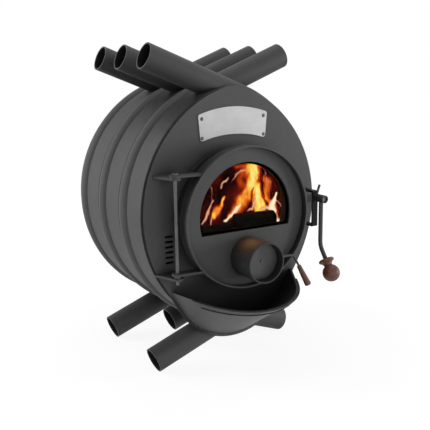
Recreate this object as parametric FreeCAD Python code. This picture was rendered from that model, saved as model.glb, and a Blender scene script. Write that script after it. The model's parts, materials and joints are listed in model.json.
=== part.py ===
"""Bent-tube convection wood stove: crossing air tubes, pointed drum, round glazed door, ash scoop and rear flue.

Millimetres. +Z is up, the door faces -Y and +X is to the right when facing the door. The origin lies on the
floor, under the middle of the stove. Inside this file every piece is drawn about the door axis, with y = 0 on
the front plate's front face, and is moved to the floor frame when it is written.
"""
import FreeCAD
import Part
import math
import os

V = FreeCAD.Vector
X_AXIS = V(1, 0, 0)
Y_AXIS = V(0, 1, 0)
Z_AXIS = V(0, 0, 1)

# Air tubes
tube_od = 57.0
tube_wall = 3.0
tube_count = 6
tube_row_gap = 2.25
bend_radius = 260.0
bend_offset = 56.0
bend_rise = 8.7
outlet_angle = 21.5
outlet_run = 247.0
leg_angle = 20.0
leg_run = 240.0
short_leg_run = 132.0

# Drum plates and the panels between the tubes
plate_thickness = 5.0
plate_reach = 18.5
plate_tip_radius = 60.0
plate_foot_drop = 26.5
plate_foot_radius = 158.0
seam_width = 1.8
seam_depth = 2.0
panel_thickness = 3.0
panel_tuck = 10.0
weld_gap = 0.2

# Vent slots beside the door, and the air box behind them
slot_count = 6
slot_length = 20.0
slot_height = 5.0
slot_pitch = 11.4
slot_side_gap = 6.5
slot_top = -32.0
air_box_margin = 5.0
air_box_depth = 22.0
air_box_wall = 2.5
air_box_gap = 1.0

# Door and its seat
collar_wall = 4.0
collar_length = 33.6
collar_inside = 12.0
rope_diameter = 12.0
rope_seat = 0.1
rope_rim_gap = 1.0
seal_gap = 0.3
door_radius = 155.0
door_thickness = 5.0
door_recess = 15.0
rim_wall = 4.0
rim_overhang = 10.0
keeper_wall = 4.0
keeper_depth = 9.0
rope_side_gap = 0.3

# Window
door_face_width = 39.0
window_rise = 3.0
sill_gap = 12.5
glass_overlap = 6.0
glass_thickness = 4.0
gasket_thickness = 1.0
retainer_thickness = 3.0
retainer_bite = 5.0
retainer_margin = 6.0
retainer_screw_radius = 2.0
retainer_screw_head = 3.6
retainer_screw_head_height = 2.5
retainer_screw_angles = (20.0, 60.0, 120.0, 160.0)

# Air pipe and deflector
pipe_od = 88.0
pipe_wall = 3.0
pipe_keeper_gap = 3.7
pipe_reach = 76.5
pipe_inside = 6.0
deflector_side_gap = 4.0
deflector_height = 50.0
deflector_stand = 21.0
deflector_wall = 3.0

# Throttle in the air pipe
spindle_radius = 2.5
spindle_inset = 24.5
spindle_right = 34.0
running_clearance = 0.05
disc_thickness = 2.5
disc_clearance = 1.0
disc_rivet_radius = 2.0
disc_rivet_head = 3.6
lever_bend = 12.0
lever_heading = (0.25, -0.42, -0.87)
lever_neck = 17.0
grip_length = 48.0
grip_top_radius = 4.7
grip_end_radius = 7.1
grip_socket = 12.0
stop_ring_radius = 5.5
stop_ring_width = 3.0
washer_radius = 7.0
washer_width = 1.5

# Hinge
hinge_side_gap = 12.6
hinge_rim_gap = 9.0
hinge_pin_radius = 4.0
hinge_pin_head = 7.0
hinge_pin_head_height = 3.0
hinge_pin_tail = 10.0
hinge_plate = 5.0
hinge_upper = 100.5
hinge_lower = -110.0
hinge_spacer = 4.7
hinge_spacer_radius = 8.0
hinge_eye = 12.0
bracket_left_reach = 30.4
bracket_right_reach = 17.6
arm_root = 24.0
slide_gap = 0.3

# Latch
latch_side_gap = 38.5
latch_z = 21.0
staple_width = 15.0
staple_wall = 4.0
staple_top = 36.0
staple_bottom = -48.0
staple_set = 6.0
axle_radius = 4.0
axle_head = 5.5
axle_head_height = 3.8
nut_flats = 13.0
nut_height = 5.5
axle_tail = 1.5
hub_radius = 9.0
hub_length = 34.5
hub_recess = 7.0
hub_recess_radius = 6.5
finger_radius = 2.75
finger_rim_gap = 7.0
finger_side = 4.5
finger_lean = 20.0
finger_root = 6.0
lug_end_gap = 5.0
lug_set = 8.0
lug_height = 18.0
lug_thickness = 6.0
lug_gap = 0.45
rod_radius = 5.0
rod_drop = 91.0
rod_bend = 40.0
rod_bend_angle = 36.0
rod_end = 39.0
rod_recess_gap = 2.0
knob_radius = 19.8
knob_flange = 17.9
knob_neck = 9.3
knob_centre = 33.0
knob_socket = 16.0

# Ash scoop
scoop_inset = 8.0
scoop_wall = 5.0
scoop_slope = 33.4
scoop_rim_tilt = 9.6
hem_wall = 3.0
hem_height = 12.0
hem_start = 50.0
hem_gap = 0.1

# Flue and smoke baffle
flue_od = 120.0
flue_wall = 2.0
flue_length = 90.0
flue_top_gap = 41.9
flange_width = 16.0
flange_thickness = 4.0
baffle_gap = 26.0
baffle_thickness = 5.0
baffle_front = 95.0

# Name plate, left bare
name_half_width = 87.5
name_foot_taper = 5.0
name_collar_gap = 29.0
name_hollow = 13.0
name_side = 57.0
name_crown = 15.0
name_thickness = 2.0
name_corner = 6.0
rivet_side_inset = 9.0
rivet_end_inset = 8.0
rivet_radius = 2.0
rivet_head = 4.0
rivet_dome = 1.8
rivet_clearance = 0.1

# Values that follow from the sizes above
tube_radius = tube_od / 2
tube_bore = tube_radius - tube_wall
tube_pitch = tube_od + tube_row_gap
first_tube = plate_thickness + weld_gap + tube_radius
tube_rows = [first_tube + index * tube_pitch for index in range(tube_count)]
back_face = tube_rows[-1] + tube_radius + weld_gap
drum_depth = back_face + plate_thickness
bend_centre = V(-bend_offset, 0, bend_rise)
outlet_rad = math.radians(outlet_angle)
leg_rad = math.radians(leg_angle)
outlet_heading = V(-math.cos(outlet_rad), 0, math.sin(outlet_rad))
leg_heading = V(-math.cos(leg_rad), 0, -math.sin(leg_rad))
plate_flank = bend_radius + plate_reach
plate_half_width = plate_flank - bend_offset
tip_rise = math.sqrt((plate_flank - plate_tip_radius) ** 2 - bend_offset ** 2)
plate_top = bend_rise + tip_rise + plate_tip_radius
plate_foot = plate_top - 2 * bend_rise + plate_foot_drop
panel_offset = plate_reach + weld_gap
rope_centre = door_radius - rim_wall - rope_rim_gap - rope_diameter / 2
collar_radius = rope_centre + collar_wall / 2
keeper_radius = rope_centre - rope_diameter / 2 - rope_side_gap
slot_x = -(collar_radius + slot_side_gap + slot_length / 2)
collar_front = -collar_length
door_back = collar_front - seal_gap - rope_diameter - rope_seat
door_face = door_back - door_thickness
rim_front = door_face - door_recess
rim_back = door_back + rim_overhang
pipe_radius = pipe_od / 2
pipe_bore = pipe_radius - pipe_wall
pipe_drop = keeper_radius - keeper_wall - pipe_keeper_gap - pipe_radius
window_radius = door_radius - door_face_width
window_sill = pipe_radius - pipe_drop + sill_gap
pipe_front = door_face - pipe_reach
pipe_back = door_back + pipe_inside
spindle_y = pipe_front + spindle_inset
pin_x = -(door_radius + hinge_side_gap)
pin_y = rim_back - hinge_rim_gap
bracket_left = pin_x - bracket_left_reach
bracket_right = pin_x + bracket_right_reach
latch_x = door_radius + latch_side_gap
staple_stand = -door_face - staple_set
strap_back = -staple_stand + staple_wall
hub_back = -staple_stand - slide_gap
hub_front = hub_back - hub_length
rod_set = hub_length - hub_recess - rod_radius - rod_recess_gap
lug_length = latch_side_gap - staple_width / 2 - lug_end_gap
lug_back = door_face + lug_set
lug_front = lug_back - lug_thickness
finger_y = lug_front - lug_gap - finger_radius
finger_length = latch_side_gap - finger_rim_gap
flue_end = drum_depth + flue_length
flue_radius = flue_od / 2
flue_bore = flue_radius - flue_wall
flue_height = plate_top - flue_radius - flue_top_gap
baffle_height = flue_height - flue_radius - baffle_gap
name_foot_half_width = name_half_width - name_foot_taper
name_waist = collar_radius + name_collar_gap
name_foot = name_waist - name_hollow
name_shoulder = name_foot + name_side
name_top = name_shoulder + name_crown
rivet_x = name_half_width - rivet_side_inset
rivet_heights = (name_foot + rivet_end_inset, name_shoulder - rivet_end_inset)
scoop_rim = -door_radius
scoop_slope_rad = math.radians(scoop_slope)
scoop_run = V(0, -math.cos(scoop_slope_rad), math.sin(scoop_slope_rad))
rim_fall = math.tan(math.radians(scoop_rim_tilt))
scoop_reach_ratio = math.cos(scoop_slope_rad) / (math.sin(scoop_slope_rad) + rim_fall * math.cos(scoop_slope_rad))
hem_foot = plate_foot - scoop_inset + hem_wall
scoop_reach = (scoop_rim + hem_foot) * scoop_reach_ratio
lowest = bend_rise - (bend_radius + tube_radius) * math.cos(leg_rad) - leg_run * math.sin(leg_rad)
floor_shift = V(0, (scoop_reach - flue_end) / 2, -lowest)


def fuse(pieces):
    """Joins pieces into one solid without inner faces."""
    joined = pieces[0]
    if len(pieces) > 1:
        joined = pieces[0].multiFuse(pieces[1:])
    joined = joined.removeSplitter()
    if len(joined.Solids) == 1:
        return joined.Solids[0]
    return joined


def ring_face(centre, normal, radius, bore=0.0):
    """Disc, or ring if it has a bore."""
    wires = [Part.Wire(Part.Circle(centre, normal, radius).toShape())]
    if bore > 0:
        wires.append(Part.Wire(Part.Circle(centre, normal, bore).toShape()))
    return Part.makeFace(wires, "Part::FaceMakerBullseye")


def bent_bar(point, heading, steps, radius, bore=0.0):
    """Round bar or tube: a number in steps is a straight run, a triple is a bend (radius, degrees, axis)."""
    pieces = []
    for step in steps:
        face = ring_face(point, heading, radius, bore)
        if isinstance(step, tuple):
            bend, angle, axis = step
            centre = point + axis.cross(heading) * bend
            pieces.append(face.revolve(centre, axis, angle))
            turn = FreeCAD.Rotation(axis, angle)
            point = centre + turn.multVec(point - centre)
            heading = turn.multVec(heading)
        else:
            pieces.append(face.extrude(heading * step))
            point = point + heading * step
    return fuse(pieces), point, heading


def rod_y(radius, start, end, x=0.0, z=0.0):
    """Cylinder along Y."""
    return Part.makeCylinder(radius, end - start, V(x, start, z), Y_AXIS)


def ring_y(radius, bore, start, end, x=0.0, z=0.0):
    """Round tube along Y."""
    return ring_face(V(x, start, z), Y_AXIS, radius, bore).extrude(V(0, end - start, 0))


def block(low, high):
    """Box between two corners."""
    return Part.makeBox(high[0] - low[0], high[1] - low[1], high[2] - low[2], V(*low))


def slab(wire, end):
    """Plate from a flat outline in a plane of constant y, up to the given y."""
    face = Part.Face(wire)
    return face.extrude(V(0, end - wire.BoundBox.YMin, 0))


def mirrored(shape):
    """The same piece on the other side of the middle plane."""
    return shape.mirror(V(0, 0, 0), X_AXIS)


def revolved(points, base, heading):
    """Turned piece: (radius, distance) points along a heading, arcs given as a triple of points."""
    edges = []
    last = V(points[0][0], 0, points[0][1])
    for point in points[1:]:
        if len(point) == 4:
            middle = V(point[0], 0, point[1])
            end = V(point[2], 0, point[3])
            edges.append(Part.Arc(last, middle, end).toShape())
        else:
            end = V(point[0], 0, point[1])
            edges.append(Part.makeLine(last, end))
        last = end
    edges.append(Part.makeLine(last, V(points[0][0], 0, points[0][1])))
    solid = Part.Face(Part.Wire(edges)).revolve(V(0, 0, 0), Z_AXIS, 360)
    solid.Placement = FreeCAD.Placement(base, FreeCAD.Rotation(Z_AXIS, heading))
    return solid


def foot_touches(inset, y):
    """Ends of the straight run from the right flank arc to the wide foot arc."""
    foot_centre = V(0, y, plate_foot_radius - plate_foot)
    flank_centre = V(-bend_offset, y, bend_rise)
    apart = foot_centre - flank_centre
    swing = math.acos((plate_flank - plate_foot_radius) / apart.Length)
    angle = math.atan2(apart.z, apart.x) + swing
    normal = V(math.cos(angle), 0, math.sin(angle))
    return flank_centre + normal * (plate_flank - inset), foot_centre + normal * (plate_foot_radius - inset)


def flipped(point):
    """The same point on the other side of the middle plane."""
    return V(-point.x, point.y, point.z)


def arc(first, middle, last):
    """Edge through three points."""
    return Part.Arc(first, middle, last).toShape()


def drum_outline(inset, y, footed=True):
    """Flank arcs about the tubes' bends, a small arc at the top, and a wide foot or a second small arc below."""
    tip = plate_tip_radius - inset
    ratio = tip / (plate_flank - plate_tip_radius)
    touch = V(bend_offset * ratio, y, bend_rise + tip_rise * (1 + ratio))
    side = V(plate_half_width - inset, y, bend_rise)
    top = V(0, y, plate_top - inset)
    if footed:
        low, foot = foot_touches(inset, y)
        runs = [Part.makeLine(low, foot), arc(foot, V(0, y, inset - plate_foot), flipped(foot))]
        runs.append(Part.makeLine(flipped(foot), flipped(low)))
    else:
        low = V(touch.x, y, 2 * bend_rise - touch.z)
        runs = [arc(low, V(0, y, 2 * bend_rise - top.z), flipped(low))]
    flank = arc(touch, side, low)
    other_flank = arc(flipped(low), flipped(side), flipped(touch))
    return Part.Wire([flank] + runs + [other_flank, arc(flipped(touch), top, touch)])


def air_tube(y, leg, radius, bore):
    """Tube with both mouths on the left: from its outlet, round the drum's right flank, to its intake leg."""
    normal = V(math.sin(outlet_rad), 0, math.cos(outlet_rad))
    outlet = bend_centre + normal * bend_radius + outlet_heading * outlet_run + V(0, y, 0)
    turn = 180 - outlet_angle - leg_angle
    steps = [outlet_run, (bend_radius, turn, Y_AXIS), leg]
    return bent_bar(outlet, outlet_heading * -1, steps, radius, bore)[0]


def row_tube(row, radius, bore):
    """Tube of one row: even rows have their mouths on the left, odd rows on the right."""
    pair = row // 2
    middle_pair = 0 < pair < tube_count // 2 - 1
    leg = short_leg_run if middle_pair else leg_run
    tube = air_tube(tube_rows[row], leg, radius, bore)
    return mirrored(tube) if row % 2 else tube


def panel_end(angle):
    """Angle at which a flank panel has run under the tube that crosses it."""
    inner = bend_radius + panel_offset
    reach = bend_radius - 2 * bend_offset * math.sin(math.radians(angle)) - panel_tuck
    return 90 + angle - math.degrees(math.acos(reach / inner))


def panel(start, end, crossing_row):
    """Curved sheet on the right flank, cut to seat round the tube that crosses it."""
    inner = bend_centre.x + bend_radius + panel_offset
    outer = inner + panel_thickness
    corners = [V(inner, start, bend_rise), V(outer, start, bend_rise), V(outer, end, bend_rise), V(inner, end, bend_rise)]
    face = Part.Face(Part.makePolygon(corners + corners[:1]))
    top = panel_end(outlet_angle)
    face.rotate(bend_centre, Y_AXIS, -top)
    sheet = face.revolve(bend_centre, Y_AXIS, top + panel_end(leg_angle))
    crossing = mirrored(air_tube(tube_rows[crossing_row], leg_run, tube_radius + weld_gap, 0.0))
    return fuse([sheet.cut(crossing)])


def panels():
    """Three panels on each flank, between the tubes that wrap that flank."""
    edge = math.sqrt(tube_radius ** 2 - panel_offset ** 2) + weld_gap
    names = ("front", "middle", "rear")
    made = {}
    for index, name in enumerate(names):
        row = 2 * index
        last = index == len(names) - 1
        end = drum_depth if last else tube_rows[row + 2] - edge
        made["right_panel_" + name] = panel(tube_rows[row] + edge, end, row + 1)
        start = tube_rows[row - 1] + edge if index else 0.0
        made["left_panel_" + name] = mirrored(panel(start, tube_rows[row + 1] - edge, row))
    plate = slab(drum_outline(-weld_gap, -1), plate_thickness)
    made["left_panel_front"] = fuse([made["left_panel_front"].cut(plate)])
    return made


def slots(start, end):
    """Row of round-ended vent slots."""
    radius = slot_height / 2
    half = slot_length / 2 - radius
    made = []
    for index in range(slot_count):
        z = slot_top - index * slot_pitch
        made.append(block((slot_x - half, start, z - radius), (slot_x + half, end, z + radius)))
        made.append(rod_y(radius, start, end, slot_x - half, z))
        made.append(rod_y(radius, start, end, slot_x + half, z))
    return made


def rivet_places():
    """Centres of the name plate's rivets."""
    return [(side * rivet_x, z) for side in (-1, 1) for z in rivet_heights]


def front_plate():
    """Front wall: shadow seam round its face, door opening, vent slots and rivet holes."""
    plate = slab(drum_outline(0, seam_depth), plate_thickness)
    plate = fuse([plate, slab(drum_outline(seam_width, 0), seam_depth)])
    cuts = slots(-1, plate_thickness + 1)
    cuts.append(rod_y(collar_radius + weld_gap, -1, plate_thickness + 1))
    for x, z in rivet_places():
        cuts.append(rod_y(rivet_radius + rivet_clearance, -1, plate_thickness + 1, x, z))
    return plate.cut(cuts)


def back_plate():
    """Rear wall with the flue opening."""
    plate = slab(drum_outline(0, back_face, False), drum_depth)
    return plate.cut(rod_y(flue_bore, back_face - 1, drum_depth + 1, 0, flue_height))


def air_box():
    """Sheet box behind the vent slots, open at the top and kept inside the flank panel."""
    half = slot_length / 2 + air_box_margin
    low = slot_top - (slot_count - 1) * slot_pitch - slot_height / 2 - air_box_margin
    high = slot_top + slot_height / 2 + air_box_margin
    start = plate_thickness
    end = start + air_box_depth
    outer = block((slot_x - half, start, low), (slot_x + half, end, high))
    wall = air_box_wall
    inner = block((slot_x - half + wall, start - 1, low + wall), (slot_x + half - wall, end - wall, high + 1))
    reach = bend_radius + panel_offset - air_box_gap
    outer = outer.common(rod_y(reach, start, end, bend_offset, bend_rise))
    inner = inner.common(rod_y(reach - wall, start - 1, end, bend_offset, bend_rise))
    return fuse([outer.cut(inner)])


def door_collar():
    """Round throat that the door closes on."""
    return ring_y(collar_radius, collar_radius - collar_wall, collar_front, plate_thickness + collar_inside)


def below_rim(drop):
    """Half-space under the scoop's sloping rim plane, in front of the front plate."""
    size = 2 * plate_foot
    space = block((-size, -size, scoop_rim - drop - 2 * size), (size, 0, scoop_rim - drop))
    space.rotate(V(0, 0, scoop_rim - drop), X_AXIS, scoop_rim_tilt)
    return space.common(block((-size, -size, -2 * size), (size, 0, size)))


def scoop_sheet(outer_inset, inner_inset):
    """Sheet bent along the drum's outline and running forwards and up from the front plate."""
    run = scoop_run * (1.3 * scoop_reach / math.cos(scoop_slope_rad))
    outer = Part.Face(drum_outline(outer_inset, 0)).extrude(run)
    inner = Part.Face(drum_outline(inner_inset, 0)).extrude(run)
    return outer.cut(inner)


def ash_scoop():
    """Pouch under the door that catches ash."""
    return fuse([scoop_sheet(scoop_inset, scoop_inset + scoop_wall).common(below_rim(0))])


def scoop_hem():
    """Hem round the outside of the scoop's rim, at its front."""
    sheet = scoop_sheet(scoop_inset - hem_wall, scoop_inset - hem_gap)
    size = 2 * plate_foot
    front = block((-size, -size, -size), (size, -hem_start, size))
    return fuse([sheet.common(front).common(below_rim(0)).cut(below_rim(hem_height))])


def flue_spigot():
    """Rear smoke outlet that a flue pipe slides over, up to the flange."""
    return ring_y(flue_radius, flue_bore, drum_depth + flange_thickness, flue_end, 0, flue_height)


def flue_flange():
    """Ring on the back plate that carries the spigot."""
    outer = flue_radius + flange_width
    return ring_y(outer, flue_bore, drum_depth, drum_depth + flange_thickness, 0, flue_height)


def smoke_baffle():
    """Plate that turns the smoke forwards before it reaches the flue."""
    top = baffle_height + baffle_thickness
    half = math.sqrt((bend_radius - tube_radius) ** 2 - (top - bend_rise) ** 2) - bend_offset - weld_gap
    return block((-half, baffle_front, baffle_height), (half, back_face, top))


def name_plate():
    """Bare badge with an arched top, a hollow foot and four rivet holes."""
    y = -name_thickness
    foot_left = V(-name_foot_half_width, y, name_foot)
    foot_right = V(name_foot_half_width, y, name_foot)
    top_left = V(-name_half_width, y, name_shoulder)
    top_right = V(name_half_width, y, name_shoulder)
    foot = Part.Arc(foot_left, V(0, y, name_waist), foot_right).toShape()
    top = Part.Arc(top_right, V(0, y, name_top), top_left).toShape()
    outline = Part.Wire([foot, Part.makeLine(foot_right, top_right), top, Part.makeLine(top_left, foot_left)])
    plate = slab(outline, 0)
    corners = [edge for edge in plate.Edges if abs(edge.tangentAt(edge.FirstParameter).y) > 0.9]
    plate = plate.makeFillet(name_corner, corners)
    for x, z in rivet_places():
        plate = plate.cut(rod_y(rivet_radius + rivet_clearance, y - 1, 1, x, z))
    return plate


def name_plate_rivets():
    """Domed rivets through the name plate and the front plate."""
    made = []
    for x, z in rivet_places():
        face = -name_thickness
        shank = rod_y(rivet_radius, face, plate_thickness, x, z)
        cap_radius = (rivet_head ** 2 + rivet_dome ** 2) / (2 * rivet_dome)
        ball = Part.makeSphere(cap_radius, V(x, face - rivet_dome + cap_radius, z))
        cap = ball.common(rod_y(rivet_head + 1, face - 2 * rivet_dome, face, x, z))
        made.append(fuse([shank, cap]))
    return Part.makeCompound(made)


def hinge_bracket(top):
    """Gusset on the front plate that holds one end of the hinge pin."""
    low = top - hinge_plate
    corners = [V(bracket_left, 0, low), V(bracket_right, 0, low), V(pin_x + hinge_eye, pin_y, low), V(pin_x - hinge_eye, pin_y, low)]
    gusset = Part.Face(Part.makePolygon(corners + corners[:1])).extrude(V(0, 0, hinge_plate))
    eye = Part.makeCylinder(hinge_eye, hinge_plate, V(pin_x, pin_y, low))
    hole = Part.makeCylinder(hinge_pin_radius + running_clearance, 3 * hinge_plate, V(pin_x, pin_y, low - hinge_plate))
    return fuse([fuse([gusset, eye]).cut(hole)])


def hinge_arm(low):
    """Door strap that runs from the rim to the hinge pin."""
    level = low + hinge_plate / 2
    root_x = -math.sqrt(door_radius ** 2 - level ** 2) + hinge_eye
    root_y = (rim_front + rim_back) / 2
    half = arm_root / 2
    corners = [V(root_x, root_y - half, low), V(root_x, root_y + half, low), V(pin_x, pin_y + hinge_eye, low), V(pin_x, pin_y - hinge_eye, low)]
    strap = Part.Face(Part.makePolygon(corners + corners[:1])).extrude(V(0, 0, hinge_plate))
    eye = Part.makeCylinder(hinge_eye, hinge_plate, V(pin_x, pin_y, low))
    hole = Part.makeCylinder(hinge_pin_radius + running_clearance, 3 * hinge_plate, V(pin_x, pin_y, low - hinge_plate))
    rim = rod_y(door_radius + weld_gap, rim_front - 5, 0)
    return fuse([fuse([strap, eye]).cut([hole, rim])])


def hinge_pin():
    """Headed pin down through both arms and both brackets."""
    head_low = hinge_upper + slide_gap + hinge_plate + slide_gap
    low = hinge_lower - hinge_plate - hinge_pin_tail
    shank = Part.makeCylinder(hinge_pin_radius, head_low - low, V(pin_x, pin_y, low))
    head = Part.makeCylinder(hinge_pin_head, hinge_pin_head_height, V(pin_x, pin_y, head_low))
    return fuse([shank, head])


def hinge_spacer_ring():
    """Spacer that carries the lower arm on the lower bracket."""
    bore = hinge_pin_radius + running_clearance
    return ring_face(V(pin_x, pin_y, hinge_lower), Z_AXIS, hinge_spacer_radius, bore).extrude(V(0, 0, hinge_spacer))


def latch_staple():
    """Bent strap on the front plate that carries the latch axle."""
    half = staple_width / 2
    outer = block((latch_x - half, -staple_stand, staple_bottom), (latch_x + half, 0, staple_top))
    inner = block((latch_x - half - 1, strap_back, staple_bottom + staple_wall), (latch_x + half + 1, 1, staple_top - staple_wall))
    strap = outer.cut(inner)
    bends = [edge for edge in strap.Edges if abs(edge.tangentAt(edge.FirstParameter).x) > 0.9 and edge.BoundBox.YMax < -staple_stand + 0.1]
    strap = strap.makeFillet(staple_wall - 0.5, bends)
    return strap.cut(rod_y(axle_radius + running_clearance, -staple_stand - 1, strap_back + 1, latch_x, latch_z))


def latch_axle():
    """Shouldered bolt that the latch hub turns on."""
    head_back = hub_front + hub_recess - slide_gap
    shank = rod_y(axle_radius, head_back, strap_back + nut_height + axle_tail, latch_x, latch_z)
    head = rod_y(axle_head, head_back - axle_head_height, head_back, latch_x, latch_z)
    return fuse([shank, head])


def latch_nut():
    """Hexagon nut behind the staple."""
    across = nut_flats / 2 / math.cos(math.radians(30))
    corners = []
    for index in range(7):
        angle = math.radians(60 * index)
        corners.append(V(latch_x + across * math.cos(angle), strap_back, latch_z + across * math.sin(angle)))
    nut = Part.Face(Part.makePolygon(corners)).extrude(V(0, nut_height, 0))
    return nut.cut(rod_y(axle_radius + running_clearance, strap_back - 1, 0, latch_x, latch_z))


def finger_heading():
    """Direction of the latch finger at rest."""
    lean = math.radians(finger_lean)
    return V(math.sin(lean), 0, math.cos(lean))


def finger_start():
    """Point in the side of the hub where the finger starts."""
    return V(latch_x - finger_side, finger_y, latch_z) + finger_heading() * finger_root


def rod_top():
    """Point in the hub where the handle rod starts."""
    return V(latch_x, hub_back - rod_set, latch_z - finger_root)


def handle_rod(radius):
    """Handle rod: down from the hub, then bent forwards; also gives its end and heading."""
    steps = [rod_drop, (rod_bend, rod_bend_angle, X_AXIS * -1), rod_end]
    return bent_bar(rod_top(), Z_AXIS * -1, steps, radius)


def latch_hub():
    """Sleeve with a recessed nose and two radial holes for the finger and the rod."""
    hub = ring_y(hub_radius, axle_radius + running_clearance, hub_front, hub_back, latch_x, latch_z)
    recess = rod_y(hub_recess_radius, hub_front - 1, hub_front + hub_recess, latch_x, latch_z)
    finger_hole = Part.makeCylinder(finger_radius + rivet_clearance, hub_radius, finger_start(), finger_heading())
    rod_hole = Part.makeCylinder(rod_radius + rivet_clearance, hub_radius, rod_top(), Z_AXIS * -1)
    return hub.cut([recess, finger_hole, rod_hole])


def latch_finger():
    """Finger that swings in front of the door's lug."""
    return Part.makeCylinder(finger_radius, finger_length - finger_root, finger_start(), finger_heading())


def latch_knob():
    """Turned wooden ball with a flared collar."""
    rod, end, heading = handle_rod(rod_radius)
    base = end - heading * knob_socket
    neck = knob_centre - math.sqrt(knob_radius ** 2 - knob_neck ** 2)
    side = math.radians(10)
    points = [
        (0, 0),
        (0.75 * knob_flange, 0),
        (0.98 * knob_flange, 1.0, knob_flange, 3.0),
        (0.95 * knob_flange, 5.2, 0.85 * knob_flange, 6.0),
        (0.58 * knob_flange, 0.55 * neck + 3.0, knob_neck, neck),
        (knob_radius * math.cos(side), knob_centre + knob_radius * math.sin(side), 0, knob_centre + knob_radius),
    ]
    knob = revolved(points, base, heading)
    socket = Part.makeCylinder(rod_radius + rivet_clearance, knob_socket + 1, base - heading, heading)
    return knob.cut(socket)


def latch_lug():
    """Tab on the door's rim that the latch finger holds."""
    tab = block((0, lug_front, latch_z - lug_height / 2), (door_radius + lug_length, lug_back, latch_z + lug_height / 2))
    corners = [edge for edge in tab.Edges if abs(edge.tangentAt(edge.FirstParameter).y) > 0.9 and edge.BoundBox.XMin > door_radius]
    tab = tab.makeFillet(lug_height / 4, corners)
    return fuse([tab.cut(rod_y(door_radius + weld_gap, rim_front - 5, 0))])


def window_outline(grow, y):
    """Round window cut off by a level sill, grown or shrunk all round."""
    radius = window_radius + grow
    sill = window_sill - grow
    half = math.sqrt(radius ** 2 - (sill - window_rise) ** 2)
    arc = Part.Arc(V(half, y, sill), V(0, y, window_rise + radius), V(-half, y, sill)).toShape()
    return Part.Wire([arc, Part.makeLine(V(-half, y, sill), V(half, y, sill))])


def retainer_screw_places():
    """Screw centres just outside the glass: along the arc, and at both ends of the sill."""
    ring = window_radius + glass_overlap + retainer_screw_radius + 1
    places = []
    for angle in retainer_screw_angles:
        turn = math.radians(angle)
        places.append((ring * math.cos(turn), window_rise + ring * math.sin(turn)))
    return places


def door_plate():
    """Door disc with the window and the air pipe hole."""
    plate = rod_y(door_radius - rim_wall - weld_gap, door_face, door_back)
    cuts = [slab(window_outline(0, door_face - 1), door_back + 1)]
    cuts.append(rod_y(pipe_radius + weld_gap, door_face - 1, door_back + 1, 0, -pipe_drop))
    for x, z in retainer_screw_places():
        cuts.append(rod_y(retainer_screw_radius + rivet_clearance, door_face + 1, door_back + 1, x, z))
    return plate.cut(cuts)


def door_rim():
    """Band round the door that stands proud of its face."""
    return ring_y(door_radius, door_radius - rim_wall, rim_front, rim_back)


def seal_keeper():
    """Ring that keeps the rope in its groove."""
    return ring_y(keeper_radius, keeper_radius - keeper_wall, door_back, door_back + keeper_depth)


def rope_seal():
    """Heat-proof rope in the door's groove."""
    centre_y = door_back + rope_seat + rope_diameter / 2
    return Part.makeTorus(rope_centre, rope_diameter / 2, V(0, centre_y, 0), Y_AXIS)


def glass_gasket():
    """Flat tape between door and glass."""
    ring = slab(window_outline(glass_overlap, door_back), door_back + gasket_thickness)
    return ring.cut(slab(window_outline(1, door_back - 1), door_back + gasket_thickness + 1))


def window_glass():
    """Heat-proof pane."""
    start = door_back + gasket_thickness
    return slab(window_outline(glass_overlap, start), start + glass_thickness)


def glass_retainer():
    """Frame that clamps the pane, screwed to the door."""
    start = door_back + gasket_thickness + glass_thickness
    end = start + retainer_thickness
    frame = slab(window_outline(glass_overlap + retainer_margin, start), end)
    below = window_sill - glass_overlap - retainer_margin / 2
    frame = frame.cut(block((-2 * door_radius, start - 1, -2 * door_radius), (2 * door_radius, end + 1, below)))
    cuts = [slab(window_outline(-retainer_bite, start - 1), end + 1)]
    for x, z in retainer_screw_places():
        cuts.append(rod_y(retainer_screw_radius + rivet_clearance, start - 1, end + 1, x, z))
    return fuse([frame.cut(cuts)])


def retainer_screws():
    """Screws through the retainer into the door."""
    face = door_back + gasket_thickness + glass_thickness + retainer_thickness
    made = []
    for x, z in retainer_screw_places():
        shank = rod_y(retainer_screw_radius, door_face + 1.5, face, x, z)
        head = rod_y(retainer_screw_head, face, face + retainer_screw_head_height, x, z)
        made.append(fuse([shank, head]))
    return Part.makeCompound(made)


def air_pipe():
    """Stub through the door for the fire's air, with bearing holes for the throttle spindle."""
    pipe = ring_y(pipe_radius, pipe_bore, pipe_front, pipe_back, 0, -pipe_drop)
    hole = Part.makeCylinder(spindle_radius + running_clearance, 3 * pipe_radius, V(-1.5 * pipe_radius, spindle_y, -pipe_drop), X_AXIS)
    return pipe.cut(hole)


def air_deflector():
    """Bent sheet inside the door that turns the incoming air sideways."""
    half = pipe_radius + deflector_side_gap + deflector_wall
    low = -pipe_drop - deflector_height / 2
    high = -pipe_drop + deflector_height / 2
    end = door_back + deflector_stand + deflector_wall
    outer = block((-half, door_back, low), (half, end, high))
    inner = block((-half + deflector_wall, door_back - 1, low - 1), (half - deflector_wall, end - deflector_wall, high + 1))
    return outer.cut(inner)


def spindle_path():
    """Start, first heading and steps of the throttle spindle, up to the end of its lever."""
    start = V(-pipe_radius, spindle_y, -pipe_drop)
    target = V(*lever_heading)
    target.normalize()
    axis = X_AXIS.cross(target)
    axis.normalize()
    angle = math.degrees(X_AXIS.getAngle(target))
    straight = 2 * pipe_radius + spindle_right
    return start, X_AXIS, [straight, (lever_bend, angle, axis), lever_neck + grip_socket]


def damper_spindle():
    """Spindle across the air pipe, bent into a hand lever, with a rivet hole at its middle."""
    start, heading, steps = spindle_path()
    spindle = bent_bar(start, heading, steps, spindle_radius)[0]
    hole = rod_y(disc_rivet_radius - 0.7 + rivet_clearance, spindle_y - pipe_radius, spindle_y + pipe_radius, 0, -pipe_drop)
    return spindle.cut(hole)


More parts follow.
